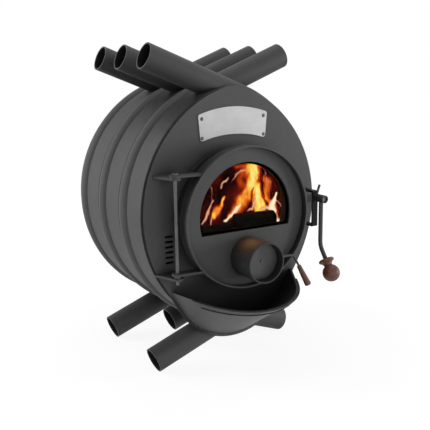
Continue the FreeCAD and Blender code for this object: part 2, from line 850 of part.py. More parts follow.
def damper_grip():
    """Tapered wooden grip on the lever."""
    start, heading, steps = spindle_path()
    end, out = bent_bar(start, heading, steps, spindle_radius)[1:]
    base = end - out * grip_socket
    round_start = grip_length - grip_end_radius / 2
    points = [
        (0, 0),
        (grip_top_radius, 0),
        (grip_end_radius, round_start),
        (0.8 * grip_end_radius, grip_length - 0.8, 0.45 * grip_end_radius, grip_length),
        (0, grip_length),
    ]
    grip = revolved(points, base, out)
    socket = Part.makeCylinder(spindle_radius + rivet_clearance, grip_socket + 1, base - out, out)
    return grip.cut(socket)


def throttle_disc():
    """Round flap on the front of the spindle."""
    front = spindle_y - spindle_radius - disc_thickness
    edge = spindle_radius + disc_thickness
    radius = math.sqrt((pipe_bore - disc_clearance) ** 2 - edge ** 2)
    disc = rod_y(radius, front, front + disc_thickness, 0, -pipe_drop)
    return disc.cut(rod_y(disc_rivet_radius - 0.7 + rivet_clearance, front - 1, front + disc_thickness + 1, 0, -pipe_drop))


def throttle_rivet():
    """Rivet that holds the disc to the spindle."""
    front = spindle_y - spindle_radius - disc_thickness
    shank = rod_y(disc_rivet_radius - 0.7, front, spindle_y + spindle_radius + 0.5, 0, -pipe_drop)
    head = rod_y(disc_rivet_head, front - 1.6, front, 0, -pipe_drop)
    tail = rod_y(disc_rivet_radius, spindle_y + spindle_radius, spindle_y + spindle_radius + 1.2, 0, -pipe_drop)
    return fuse([shank, head, tail])


def spindle_ring(x, radius, width):
    """Ring on the throttle spindle."""
    face = ring_face(V(x, spindle_y, -pipe_drop), X_AXIS, radius, spindle_radius + rivet_clearance)
    return face.extrude(X_AXIS * width)


def spindle_rings():
    """Washer and stop ring beside the pipe; with the disc they keep the spindle in its place."""
    washer_x = pipe_radius + slide_gap
    ring_x = washer_x + washer_width + weld_gap
    washer = spindle_ring(washer_x, washer_radius, washer_width)
    return Part.makeCompound([washer, spindle_ring(ring_x, stop_ring_radius, stop_ring_width)])


def stove_parts():
    """Every piece by its name, drawn about the door axis."""
    parts = {}
    for row in range(tube_count):
        side = "right" if row % 2 else "left"
        parts["air_tube_%d_%s" % (row + 1, side)] = row_tube(row, tube_radius, tube_bore)
    parts.update(panels())
    parts["front_plate"] = front_plate()
    parts["back_plate"] = back_plate()
    parts["vent_air_box"] = air_box()
    parts["door_collar"] = door_collar()
    parts["ash_scoop"] = ash_scoop()
    parts["scoop_hem"] = scoop_hem()
    parts["flue_spigot"] = flue_spigot()
    parts["flue_flange"] = flue_flange()
    parts["smoke_baffle"] = smoke_baffle()
    parts["name_plate"] = name_plate()
    parts["name_plate_rivets"] = name_plate_rivets()
    parts["hinge_bracket_upper"] = hinge_bracket(hinge_upper)
    parts["hinge_bracket_lower"] = hinge_bracket(hinge_lower)
    parts["hinge_pin"] = hinge_pin()
    parts["hinge_spacer"] = hinge_spacer_ring()
    parts["latch_staple"] = latch_staple()
    parts["latch_axle"] = latch_axle()
    parts["latch_nut"] = latch_nut()
    return parts


def door_parts():
    """Pieces that swing with the door."""
    return {
        "door_plate": door_plate(),
        "door_rim": door_rim(),
        "seal_keeper": seal_keeper(),
        "rope_seal": rope_seal(),
        "glass_gasket": glass_gasket(),
        "window_glass": window_glass(),
        "glass_retainer": glass_retainer(),
        "retainer_screws": retainer_screws(),
        "air_pipe": air_pipe(),
        "air_deflector": air_deflector(),
        "hinge_arm_upper": hinge_arm(hinge_upper + slide_gap),
        "hinge_arm_lower": hinge_arm(hinge_lower + hinge_spacer + slide_gap),
        "latch_lug": latch_lug(),
    }


def damper_parts():
    """Pieces that turn with the throttle lever."""
    return {
        "throttle_disc": throttle_disc(),
        "throttle_rivet": throttle_rivet(),
        "damper_spindle": damper_spindle(),
        "spindle_rings": spindle_rings(),
        "damper_grip": damper_grip(),
    }


def latch_parts():
    """Pieces that turn with the latch handle."""
    return {
        "latch_hub": latch_hub(),
        "latch_finger": latch_finger(),
        "latch_rod": handle_rod(rod_radius)[0],
        "latch_knob": latch_knob(),
    }


def all_parts():
    """The whole stove."""
    parts = stove_parts()
    parts.update(door_parts())
    parts.update(damper_parts())
    parts.update(latch_parts())
    return parts


def write_parts():
    """One file per piece, in the floor frame."""
    os.makedirs("parts", exist_ok=True)
    for name, shape in all_parts().items():
        placed = shape.copy()
        placed.translate(floor_shift)
        placed.exportStep("parts/%s.step" % name)


write_parts()
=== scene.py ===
"""Looks of the workshop stove: matt paint, bare badge, turned wood, woven seals, welds and a log fire."""

import json
import math
import random

import bpy
from mathutils import Matrix, Vector, noise


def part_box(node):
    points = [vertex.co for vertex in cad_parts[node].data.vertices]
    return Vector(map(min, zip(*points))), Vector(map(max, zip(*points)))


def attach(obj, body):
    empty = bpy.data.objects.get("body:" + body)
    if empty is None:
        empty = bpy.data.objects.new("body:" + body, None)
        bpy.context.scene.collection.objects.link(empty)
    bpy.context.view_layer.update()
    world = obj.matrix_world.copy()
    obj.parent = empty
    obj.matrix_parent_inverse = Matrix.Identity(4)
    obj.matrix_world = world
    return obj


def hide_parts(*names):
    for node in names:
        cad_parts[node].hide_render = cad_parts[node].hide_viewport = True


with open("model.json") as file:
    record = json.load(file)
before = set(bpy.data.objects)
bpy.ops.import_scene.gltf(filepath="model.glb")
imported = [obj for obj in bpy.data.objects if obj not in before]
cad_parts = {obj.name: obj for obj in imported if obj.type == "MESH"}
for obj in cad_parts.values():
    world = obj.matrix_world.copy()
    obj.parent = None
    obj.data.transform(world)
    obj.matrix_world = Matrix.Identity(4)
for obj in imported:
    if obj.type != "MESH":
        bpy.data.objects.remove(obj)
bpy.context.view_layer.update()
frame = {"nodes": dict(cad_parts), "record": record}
nodes = frame["nodes"]

MM = 0.001
plate_low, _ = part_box("front_plate")
rim_low, rim_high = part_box("door_rim")
# Point on the door's axis, in the plane of the front plate's front face.
DOOR_AXIS = Vector((0, plate_low.y, (rim_low.z + rim_high.z) / 2))
ALONG_Y = Vector((0, 1, 0))


def at(x, y, z):
    """Point given in millimetres from the door axis, as a place in the scene."""
    return DOOR_AXIS + Vector((x, y, z)) * MM


def reach(node):
    """Lowest and highest corner of a node, in millimetres from the door axis."""
    low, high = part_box(node)
    return (low - DOOR_AXIS) / MM, (high - DOOR_AXIS) / MM


class Shader:
    """A node material with its Principled shader at hand."""

    def __init__(self, name):
        self.material = bpy.data.materials.new(name)
        self.material.use_nodes = True
        self.tree = self.material.node_tree
        self.surface = self.tree.nodes["Principled BSDF"]
        self.place = self.node("TexCoord").outputs["Object"]

    def node(self, kind, inputs=None, **settings):
        """Adds a node with its settings, and its inputs as values or links."""
        made = self.tree.nodes.new("ShaderNode" + kind)
        for key, value in settings.items():
            setattr(made, key, value)
        for key, value in (inputs or {}).items():
            self.put(made.inputs[key], value)
        return made

    def put(self, socket, value):
        """Sets an input to a value, or links it to another node's output."""
        if isinstance(value, bpy.types.NodeSocket):
            self.tree.links.new(value, socket)
        else:
            socket.default_value = value

    def finish(self, **inputs):
        """Sets inputs of the Principled shader, named with underscores for spaces."""
        for key, value in inputs.items():
            self.put(self.surface.inputs[key.replace("_", " ")], value)
        return self.material

    def noise(self, scale, detail=3.0, roughness=0.55, place=None):
        """Noise value at the given scale, per metre."""
        values = {"Vector": place or self.place, "Scale": scale, "Detail": detail, "Roughness": roughness}
        return self.node("TexNoise", values).outputs["Fac"]

    def stretched(self, x, y, z):
        """Place in the object with each axis at its own scale."""
        return self.node("Mapping", {"Vector": self.place, "Scale": (x, y, z)}).outputs["Vector"]

    def axes(self, vector):
        """The three parts of a vector."""
        return self.node("SeparateXYZ", {"Vector": vector}).outputs

    def ramp(self, factor, stops):
        """Colour ramp through (position, colour) stops."""
        made = self.node("ValToRGB", {"Fac": factor})
        elements = made.color_ramp.elements
        while len(elements) < len(stops):
            elements.new(1.0)
        for element, (position, colour) in zip(elements, stops):
            element.position = position
            element.color = (*colour, 1.0)
        return made.outputs["Color"]

    def span(self, value, low, high, to_low=0.0, to_high=1.0, kind="LINEAR"):
        """Value moved from one range to another, and held inside it."""
        values = {"Value": value, "From Min": low, "From Max": high, "To Min": to_low, "To Max": to_high}
        return self.node("MapRange", values, interpolation_type=kind).outputs["Result"]

    def math(self, kind, first, second=0.0):
        """Sum, product or other operation on values."""
        return self.node("Math", {0: first, 1: second}, operation=kind).outputs["Value"]

    def vector(self, kind, first, second=(0, 0, 0)):
        """Difference, direction or other operation on vectors."""
        return self.node("VectorMath", {0: first, 1: second}, operation=kind).outputs["Vector"]

    def dot(self, first, second):
        """Dot product of two vectors."""
        return self.node("VectorMath", {0: first, 1: second}, operation="DOT_PRODUCT").outputs["Value"]

    def mix(self, factor, first, second):
        """Mix of two colours."""
        made = self.node("Mix", data_type="RGBA")
        self.put(made.inputs[0], factor)
        self.put(made.inputs[6], first)
        self.put(made.inputs[7], second)
        return made.outputs[2]

    def shade(self, colour, factor):
        """Colour made darker by a factor from 0 to 1."""
        return self.mix(factor, (0, 0, 0, 1), colour)

    def mark(self, name):
        """Value that the mesh holds under this name at each of its points."""
        return self.node("Attribute", attribute_name=name).outputs["Fac"]

    def facing(self):
        """Direction in which the surface looks."""
        return self.node("NewGeometry").outputs["Normal"]

    def soft_edge(self, radius):
        """The same with the edges rounded, by a radius in millimetres."""
        return self.node("Bevel", {"Radius": radius * MM}, samples=4).outputs["Normal"]

    def bump(self, height, strength, distance, normal=None):
        """Normal bent by a height."""
        values = {"Height": height, "Strength": strength, "Distance": distance}
        if normal is not None:
            values["Normal"] = normal
        return self.node("Bump", values).outputs["Normal"]

    def open_sky(self, distance):
        """How open the surface is to its surroundings, 0 in a deep corner and 1 in the open."""
        return self.node("AmbientOcclusion", {"Distance": distance}, samples=8).outputs["AO"]


def grey(value):
    """Neutral colour."""
    return (value, value, value * 1.01, 1.0)


def scoop_shade_and_soot(s):
    """1 on the outside of the ash scoop, near 0 on its inside: ash and soot, and painted shade where the
    scoop's inside lies in shadow.
    """
    scoop_middle = at(0, -70, -105)
    inward = s.vector("NORMALIZE", s.vector("SUBTRACT", scoop_middle, s.place))
    return s.span(s.dot(s.facing(), inward), 0.12, 0.3, 1.0, 0.12, "SMOOTHSTEP")


def fire_soot(s):
    """1 on faces that look out of the drum, near 0 on those that look at the fire."""
    x, _, z = s.axes(s.place)
    up = s.math("SUBTRACT", z, DOOR_AXIS.z)
    arm = s.node("CombineXYZ", {"X": x, "Z": up}).outputs["Vector"]
    outward = s.vector("NORMALIZE", arm)
    to_fire = s.span(s.dot(s.facing(), outward), 0.0, -0.2)
    within = s.span(s.math("ABSOLUTE", up), 0.21, 0.19)
    return s.span(s.math("MULTIPLY", to_fire, within), 0.0, 1.0, 1.0, 0.08)


def tube_shade_and_soot(s):
    """1 on the outside of a tube; painted shade makes it less under its outlet and near 0 in its bore, and
    soot near 0 by the fire.
    """
    # Painted shade in the bore, from how much of the tube itself hides each point
    inside = s.node("AmbientOcclusion", {"Distance": 0.4}, only_local=True, samples=8).outputs["AO"]
    # Painted shade under the upper outlets, where the tubes are lit less
    under = s.span(s.axes(s.facing())[2], 0.1, -0.7)
    outlet = s.span(s.axes(s.place)[2], at(0, 0, 190).z, at(0, 0, 230).z)
    underside_shade = s.span(s.math("MULTIPLY", under, outlet), 0.0, 1.0, 1.0, 0.5)
    outside = s.math("MULTIPLY", underside_shade, fire_soot(s))
    return s.math("MULTIPLY", s.span(inside, 0.5, 0.8, 0.05, 1.0), outside)


def panel_shade_and_soot(s):
    """1 on a flank panel's outside; painted shade makes it less under the outlets and near 0 on cut edges
    and the front seam, and soot darkens it by the fire.
    """
    # Painted shade: the panels' cut edges and the seam at the front plate are dark like shaded gaps
    lengthways = s.math("ABSOLUTE", s.axes(s.soft_edge(4))[1])
    cut = s.span(lengthways, 0.86, 0.97, 1.0, 0.1)
    from_front = s.axes(s.node("TexCoord").outputs["Generated"])[1]
    seam = s.math("MULTIPLY", cut, s.span(from_front, 0.045, 0.065, 0.06, 1.0))
    _, y, z = s.axes(s.place)
    # Painted shadow of the outlets on the tops of the front and middle panels
    high = s.span(z, at(0, 0, 150).z, at(0, 0, 222).z, kind="SMOOTHSTEP")
    forward = s.span(y, at(0, 205, 0).y, at(0, 190, 0).y)
    outside = s.math("MULTIPLY", seam, fire_soot(s))
    return s.math("MULTIPLY", outside, s.span(s.math("MULTIPLY", high, forward), 0.0, 1.0, 1.0, 0.42))


def hem_shade(s):
    """Painted shade: 1 on the scoop's hem, near 0 at its right-hand end, apart from the face that looks
    outwards.
    """
    right = s.span(s.axes(s.place)[0], 0.05, 0.095, kind="SMOOTHSTEP")
    outside = s.span(s.axes(s.facing())[0], 0.5, 0.8)
    return s.span(s.math("SUBTRACT", right, outside), 0.0, 1.0, 1.0, 0.03)


def rim_shade(s):
    """Painted shade: falls from 1 at the front of the door's rim to less than half by the seal behind it."""
    depth = s.axes(s.place)[1]
    return s.span(depth, at(0, -64, 0).y, at(0, -54, 0).y, 1.0, 0.4, "SMOOTHSTEP")


def plate_shade(s):
    """Painted shadow: falls from 1 to near 0 on the front plate behind the ash scoop."""
    x, _, z = s.axes(s.place)
    low = s.span(z, at(0, 0, -112).z, at(0, 0, -168).z, kind="SMOOTHSTEP")
    middle = s.span(s.math("ABSOLUTE", x), 0.172, 0.150, kind="SMOOTHSTEP")
    above_rim = s.span(z, at(0, 0, -272).z, at(0, 0, -262).z)
    cover = s.math("MULTIPLY", s.math("MULTIPLY", low, middle), above_rim)
    return s.span(cover, 0.0, 1.0, 1.0, 0.2)


def paint(name, tone, soot=None, gloss=0.25, corner=120 * MM):
    """Matt heat-proof paint: fine grain, faint blotches, slightly rubbed edges and painted shade in corners.
    """
    s = Shader(name)
    lean = s.dot(s.soft_edge(3.0), s.facing())
    blotches = s.noise(9.0, 4.0)
    mottle = s.noise(85.0, 5.0, 0.62)
    grain = s.noise(700.0, 2.0)
    uneven = s.math("ADD", s.span(blotches, 0.3, 0.7, -0.07, 0.07), s.span(mottle, 0.3, 0.7, -0.06, 0.06))
    body = s.mix(s.span(uneven, -0.13, 0.13), grey(tone * 0.88), grey(tone * 1.12))
    rub = s.math("MULTIPLY", s.span(lean, 0.985, 0.9), s.span(mottle, 0.38, 0.62))
    worn = s.mix(s.math("MULTIPLY", rub, 0.35), body, grey(tone * 2.0))
    # Painted shade: darker in corners and recesses, by how open the surface is
    shade_and_soot_factor = s.span(s.open_sky(corner), 0.05, 0.75, 0.16, 1.0)
    # The function given as soot paints shade too, and for some parts soot as well
    if soot is not None:
        shade_and_soot_factor = s.math("MULTIPLY", shade_and_soot_factor, soot(s))
    colour = s.shade(worn, shade_and_soot_factor)
    height = s.math("ADD", grain, s.math("MULTIPLY", mottle, 1.5))
    normal = s.bump(height, 0.1, 0.5 * MM, s.soft_edge(1.2))
    rough = s.span(mottle, 0.3, 0.7, 0.54, 0.66)
    return s.finish(Base_Color=colour, Roughness=rough, Normal=normal, Specular_IOR_Level=gloss)


def brushed_plate(name):
    """Bare sheet steel of the badge, brushed lengthways."""
    s = Shader(name)
    brush = s.noise(60.0, 4.0, 0.6, s.stretched(1, 40, 40))
    cloud = s.noise(30.0, 3.0)
    tone = s.mix(s.span(cloud, 0.3, 0.7), grey(0.43), grey(0.5))
    colour = s.mix(s.span(brush, 0.3, 0.7, 0.0, 0.35), tone, grey(0.4))
    normal = s.bump(brush, 0.15, 0.1 * MM, s.soft_edge(0.6))
    rough = s.span(brush, 0.3, 0.7, 0.42, 0.55)
    return s.finish(Base_Color=colour, Metallic=0.6, Roughness=rough, Normal=normal)


def steel(name, tone, metallic, roughness):
    """Rolled or machined steel with faint draw marks and a film of oil."""
    s = Shader(name)
    marks = s.noise(240.0, 4.0, 0.6, s.stretched(1, 1, 0.15))
    film = s.noise(45.0, 4.0)
    colour = s.mix(s.span(film, 0.3, 0.7), grey(tone * 0.75), grey(tone * 1.25))
    shaded = s.shade(colour, s.span(s.open_sky(25 * MM), 0.1, 0.7, 0.3, 1.0))
    rough = s.span(film, 0.3, 0.7, roughness - 0.08, roughness + 0.1)
    normal = s.bump(marks, 0.12, 0.2 * MM, s.soft_edge(0.8))
    return s.finish(Base_Color=shaded, Metallic=metallic, Roughness=rough, Normal=normal)


def sooted_steel(name):
    """Steel inside the fire, black with soot and grey with ash that has burned off."""
    s = Shader(name)
    film = s.noise(35.0, 5.0, 0.65)
    flakes = s.noise(260.0, 3.0)
    tones = [(0.3, (0.006, 0.005, 0.005)), (0.6, (0.018, 0.016, 0.015)), (0.85, (0.05, 0.044, 0.04))]
    normal = s.bump(flakes, 0.3, 0.5 * MM)
    return s.finish(Base_Color=s.ramp(film, tones), Roughness=0.85, Normal=normal, Specular_IOR_Level=0.2)


def turned_wood(name, tone=1.0):
    """Oiled hardwood turned on a lathe: long grain, pores and a soft gloss."""
    s = Shader(name)
    wander = s.noise(25.0, 3.0)
    bands = s.noise(170.0, 4.0, 0.6, s.stretched(1, 1, 0.12))
    pores = s.noise(900.0, 3.0, 0.6, s.stretched(1, 1, 0.06))
    grain = s.math("ADD", s.math("MULTIPLY", bands, 0.8), s.math("MULTIPLY", wander, 0.2))
    tones = [(0.3, (0.06, 0.019, 0.01)), (0.5, (0.14, 0.042, 0.021)), (0.7, (0.2, 0.07, 0.037))]
    wood = s.ramp(grain, tones)
    streaked = s.mix(s.span(pores, 0.55, 0.75, 0.0, 0.55), wood, (0.035, 0.014, 0.009, 1))
    shaded = s.shade(streaked, s.span(s.open_sky(20 * MM), 0.1, 0.75, 0.35 * tone, tone))
    rough = s.span(bands, 0.3, 0.7, 0.45, 0.6)
    normal = s.bump(pores, 0.12, 0.2 * MM)
    return s.finish(Base_Color=shaded, Roughness=rough, Normal=normal, Coat_Weight=0.04)


def stove_glass(name):
    """Ceramic glass with a faint, uneven film of soot."""
    s = Shader(name)
    film = s.noise(40.0, 4.0)
    colour = s.mix(s.span(film, 0.35, 0.75, 0.0, 0.5), (1.0, 0.98, 0.95, 1), (0.86, 0.8, 0.72, 1))
    rough = s.span(film, 0.3, 0.7, 0.0, 0.03)
    return s.finish(Base_Color=colour, Roughness=rough, Transmission_Weight=1.0, IOR=1.08)


def glass_rope(name):
    """Graphited glass-fibre yarn."""
    s = Shader(name)
    fibres = s.noise(1500.0, 3.0, 0.7)
    dust = s.noise(70.0, 4.0)
    colour = s.mix(s.span(dust, 0.3, 0.7), (0.012, 0.012, 0.012, 1), (0.05, 0.048, 0.046, 1))
    tone = s.mix(s.span(fibres, 0.35, 0.7, 0.0, 0.5), colour, (0.09, 0.087, 0.084, 1))
    shaded = s.shade(tone, s.span(s.open_sky(5 * MM), 0.0, 0.8, 0.25, 1.0))
    normal = s.bump(fibres, 0.6, 0.4 * MM)
    return s.finish(Base_Color=shaded, Roughness=0.95, Normal=normal, Specular_IOR_Level=0.15)


def charred_wood(name):
    """Burning log: cracked char with a little ash on top, and heat in the cracks low down."""
    s = Shader(name)
    blocks = {"Vector": s.stretched(1, 0.7, 1), "Scale": 75.0}
    to_edge = s.node("TexVoronoi", blocks, feature="DISTANCE_TO_EDGE").outputs["Distance"]
    crack = s.span(to_edge, 0.0, 0.09, 1.0, 0.0)
    film = s.noise(60.0, 5.0, 0.65)
    up = s.axes(s.facing())[2]
    ash = s.math("MULTIPLY", s.span(up, 0.1, 0.9), s.span(film, 0.5, 0.68))
    colour = s.mix(s.math("MULTIPLY", ash, 0.15), (0.007, 0.005, 0.004, 1), (0.08, 0.07, 0.062, 1))
    deep = s.span(s.axes(s.place)[2], at(0, 0, -62).z, at(0, 0, -100).z)
    heat = s.math("MULTIPLY", s.math("MULTIPLY", crack, deep), s.span(s.noise(22.0, 2.0), 0.46, 0.6))
    glow = s.ramp(heat, [(0.0, (0, 0, 0)), (0.4, (0.35, 0.02, 0.0)), (1.0, (1.0, 0.22, 0.02))])
    normal = s.bump(s.math("SUBTRACT", film, crack), 0.7, 2 * MM)
    s.finish(Base_Color=colour, Roughness=0.9, Normal=normal, Specular_IOR_Level=0.05)
    return s.finish(Emission_Color=glow, Emission_Strength=1.0)


def ember_bed(name):
    """Pale wood ash with embers in it."""
    s = Shader(name)
    coarse = s.noise(90.0, 5.0, 0.65)
    fine = s.noise(420.0, 3.0)
    colour = s.mix(s.span(coarse, 0.3, 0.7), (0.035, 0.03, 0.028, 1), (0.2, 0.185, 0.17, 1))
    heat = s.math("MULTIPLY", s.span(coarse, 0.6, 0.44), s.span(s.noise(14.0, 2.0), 0.46, 0.62))
    glow = s.ramp(heat, [(0.0, (0, 0, 0)), (0.5, (0.3, 0.015, 0.0)), (1.0, (1.0, 0.2, 0.015))])
    normal = s.bump(s.math("ADD", coarse, fine), 0.6, 2 * MM)
    s.finish(Base_Color=colour, Roughness=0.95, Normal=normal, Specular_IOR_Level=0.1)
    return s.finish(Emission_Color=glow, Emission_Strength=1.0)


# What the fire's mesh holds at each point: how hot, how pale and how dense the gas is there
GAS_MARKS = ("warmth", "pale", "cover")


def burning_gas(name):
    """Curtain of flames, coloured by how hot and how pale each place of it is."""
    s = Shader(name)
    heat, pale, cover = (s.mark(key) for key in GAS_MARKS)
    licks = s.noise(95.0, 4.0, 0.6, s.stretched(1, 1, 0.4))
    lively = s.math("ADD", heat, s.math("MULTIPLY", heat, s.span(licks, 0.3, 0.7, -0.28, 0.2)))
    gas = s.ramp(lively, [
        (0.0, (0.003, 0.0002, 0.0002)), (0.1, (0.02, 0.001, 0.0008)), (0.26, (0.14, 0.006, 0.002)),
        (0.42, (0.45, 0.04, 0.003)), (0.58, (0.85, 0.2, 0.015)), (0.74, (1.0, 0.5, 0.05)),
        (0.88, (1.0, 0.76, 0.15)), (1.0, (1.0, 0.88, 0.34))])
    bright = s.ramp(pale, [
        (0.1, (0.3, 0.05, 0.02)), (0.45, (0.8, 0.36, 0.22)),
        (0.7, (1.0, 0.74, 0.42)), (0.98, (1.0, 0.9, 0.62))])
    colour = s.mix(s.span(pale, 0.08, 0.55, kind="SMOOTHSTEP"), gas, bright)
    s.finish(Base_Color=(0, 0, 0, 1), Roughness=1.0, Specular_IOR_Level=0.0, Alpha=cover)
    return s.finish(Emission_Color=colour, Emission_Strength=1.0)


PAINT = 0.085
finishes = {
    "stove_paint": paint("stove_paint", PAINT),
    "bare_plate": brushed_plate("bare_plate"),
    "plain_steel": steel("plain_steel", 0.11, 0.5, 0.42),
    "throttle_steel": steel("throttle_steel", 0.062, 0.2, 0.5),
    "firebox_steel": sooted_steel("firebox_steel"),
    "turned_wood": turned_wood("turned_wood"),
    "window_glass": stove_glass("window_glass"),
    "seal_rope": glass_rope("seal_rope"),
}
special = {
    # Lighter copies of the stove paint: painted light on the scoop, its hem and the front plate
    "ash_scoop": paint("lit_and_shaded_scoop_paint", PAINT * 1.4, scoop_shade_and_soot, gloss=0.45),
    "scoop_hem": paint("lit_and_shaded_hem_paint", PAINT * 1.45, hem_shade, gloss=0.25),
    "front_plate": paint("lit_and_shaded_front_paint", PAINT * 1.22, plate_shade),
    # Stove paint with painted shade towards the back of the door's rim
    "door_rim": paint("shaded_rim_paint", PAINT, rim_shade),
    # Darker copy of the stove paint: painted shade on the air pipe
    "air_pipe": paint("shaded_pipe_paint", PAINT * 0.5),
    "door_collar": finishes["firebox_steel"],
    "glass_retainer": finishes["firebox_steel"],
    "damper_grip": turned_wood("grip_wood", 0.72),
    "throttle_rivet": finishes["throttle_steel"],
    # Darker copy of the stove paint: painted shadow on the latch staple
    "latch_staple": paint("shaded_staple_paint", PAINT * 0.25, gloss=0.08),
    "latch_hub": steel("hub_steel", 0.035, 0.3, 0.5),
    "name_plate_rivets": steel("rivet_steel", 0.12, 0.3, 0.45),
}
# Tube paint with painted shade in corners, bores and under the outlets, and soot by the fire
shaded_tube_paint = paint("shaded_tube_paint", PAINT, tube_shade_and_soot, corner=60 * MM)
special.update({name: shaded_tube_paint for name in nodes if name.startswith("air_tube")})
# Panel paint with painted shade from a long reach, so the tops under the tubes darken too
panel_paint = paint("panel_paint", PAINT, panel_shade_and_soot, corner=220 * MM)
special.update({name: panel_paint for name in nodes if "_panel_" in name})
for part in frame["record"]["subparts"]:
    mesh = nodes[part["node"]].data
    mesh.materials.clear()
    mesh.materials.append(special.get(part["node"], finishes[part["material_slot"]]))


def piece(name, vertices, faces, body, material):
    """Adds a smooth mesh that rides on a body."""
    mesh = bpy.data.meshes.new(name)
    mesh.from_pydata(vertices, [], faces)
    mesh.materials.append(material)
    mesh.polygons.foreach_set("use_smooth", [True] * len(mesh.polygons))
    made = bpy.data.objects.new(name, mesh)
    bpy.context.scene.collection.objects.link(made)
    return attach(made, body)


def skin(path, section, lift, closed=False):
    """Skin over a path: section(i) gives (out, up) pairs in metres at its point i, and lift(i) points up."""
    vertices = []
    faces = []
    count = len(path)
    for i, point in enumerate(path):
        before = path[i - 1] if closed or i > 0 else point
        after = path[(i + 1) % count] if closed or i + 1 < count else point
        ahead = (after - before).normalized()
        up = (lift(i) - ahead * lift(i).dot(ahead)).normalized()
        out = ahead.cross(up)
        ring = section(i)
        vertices += [point + out * a + up * b for a, b in ring]
    sides = len(ring)
    for i in range(count if closed else count - 1):
        here = i * sides
        there = (i + 1) % count * sides
        for k in range(sides):
            side = (k + 1) % sides
            faces.append((here + k, there + k, there + side, here + side))
    if not closed:
        faces.append(tuple(range(sides)))
        faces.append(tuple(reversed(range((count - 1) * sides, count * sides))))
    return vertices, faces


def grid(rows, columns):
    """Faces of a sheet of points that run along its rows."""
    across = columns + 1
    corners = [i * across + k for i in range(rows) for k in range(columns)]
    return [(here, here + 1, here + across + 1, here + across) for here in corners]


def joined(skins):
    """Several skins as one."""
    vertices = []
    faces = []
    for more_vertices, more_faces in skins:
        start = len(vertices)
        vertices += more_vertices
        faces += [tuple(start + k for k in face) for face in more_faces]
    return vertices, faces


def rounded(radius, sides=8):
    """Circle as a cross-section."""
    turns = [2 * math.pi * k / sides for k in range(sides)]
    return [(radius * math.cos(t), radius * math.sin(t)) for t in turns]


def circle(x, y, z, radius, step):
    """Points on a circle round an axis along Y, in millimetres from the door axis."""
    count = round(2 * math.pi * radius / step)
    turns = [2 * math.pi * k / count for k in range(count)]
    return [at(x + radius * math.cos(t), y, z + radius * math.sin(t)) for t in turns]


def line(start, end, step):
    """Points on a straight line."""
    count = max(2, round((end - start).length / (step * MM)))
    return [start.lerp(end, k / count) for k in range(count + 1)]


def along_points(points, step):
    """Points at even steps along a row of points."""
    row = [points[0]]
    for start, end in zip(points, points[1:]):
        row += line(start, end, step)[1:] if (end - start).length > step * MM else []
    return row


BEAD_STEP = 1.5


def bead(name, path, radius, body, closed=False, finish="stove_paint"):
    """Rippled weld bead along a path."""
    def section(i):
        ripple = 1 + 0.16 * math.sin(i * 2 * math.pi / 3.3) + 0.12 * noise.noise(path[i] * 160)
        taper = 1 if closed else min(1, (i + 0.6) / 2, (len(path) - 0.4 - i) / 2)
        return rounded(radius * MM * ripple * taper)
    made = piece(name, *skin(path, section, lambda i: ALONG_Y, closed), body, finishes[finish])
    return made


def ring_bead(name, node, y, radius, body):
    """Bead round a tube-shaped node, at the given depth."""
    low, high = reach(node)
    outer = (high.x - low.x) / 2
    path = circle((low.x + high.x) / 2, y, (low.z + high.z) / 2, outer, BEAD_STEP)
    return bead(name, path, radius, body, closed=True)


def foot_beads(name, node, inset):
    """Beads above and below a flat bracket where it meets the front plate."""
    low, high = reach(node)
    for side, z in (("top", high.z), ("foot", low.z)):
        path = line(at(low.x + inset, 0, z), at(high.x - inset, 0, z), BEAD_STEP)
        bead(name + "_" + side, path, 1.8, "stove")


def scoop_root():
    """Outer edge of the ash scoop where it meets the front plate, from one end to the other."""
    middle = at(0, 0, -130)
    touching = [v.co for v in nodes["ash_scoop"].data.vertices if abs(v.co.y - plate_low.y) < 0.3 * MM]
    farthest = {}
    for point in touching:
        arm = point - middle
        step = round(math.atan2(arm.x, -arm.z) / 0.03)
        if step not in farthest or arm.length > (farthest[step] - middle).length:
            farthest[step] = point.copy()
    return along_points([farthest[step] for step in sorted(farthest)], BEAD_STEP)


def hem_shadow_line():
    """Lower outer edge of the scoop's hem, from one side to the other."""
    lowest = {}
    for v in nodes["scoop_hem"].data.vertices:
        step = round(v.co.x / (5 * MM))
        if step not in lowest or v.co.z < lowest[step].z:
            lowest[step] = v.co.copy()
    points = [lowest[step] for step in sorted(lowest)]
    return along_points(points[3:-3], BEAD_STEP)


door_low, _ = reach("door_plate")
flange_low, flange_high = reach("flue_flange")
ring_bead("weld_air_pipe", "air_pipe", door_low.y, 2.0, "door")
ring_bead("weld_collar", "door_collar", 0, 2.2, "stove")
ring_bead("weld_flange", "flue_flange", flange_low.y, 2.0, "stove")
ring_bead("weld_spigot", "flue_spigot", flange_high.y, 2.4, "stove")
foot_beads("weld_hinge_upper", "hinge_bracket_upper", 3)
foot_beads("weld_hinge_lower", "hinge_bracket_lower", 3)
foot_beads("weld_staple", "latch_staple", 2)
bead("weld_scoop", scoop_root(), 1.8, "stove")
# Painted shadow: a dark bead of sooted steel under the hem's lower edge, where the hem shades the scoop
bead("hem_shadow_line", hem_shadow_line(), 1.8, "stove", finish="firebox_steel")


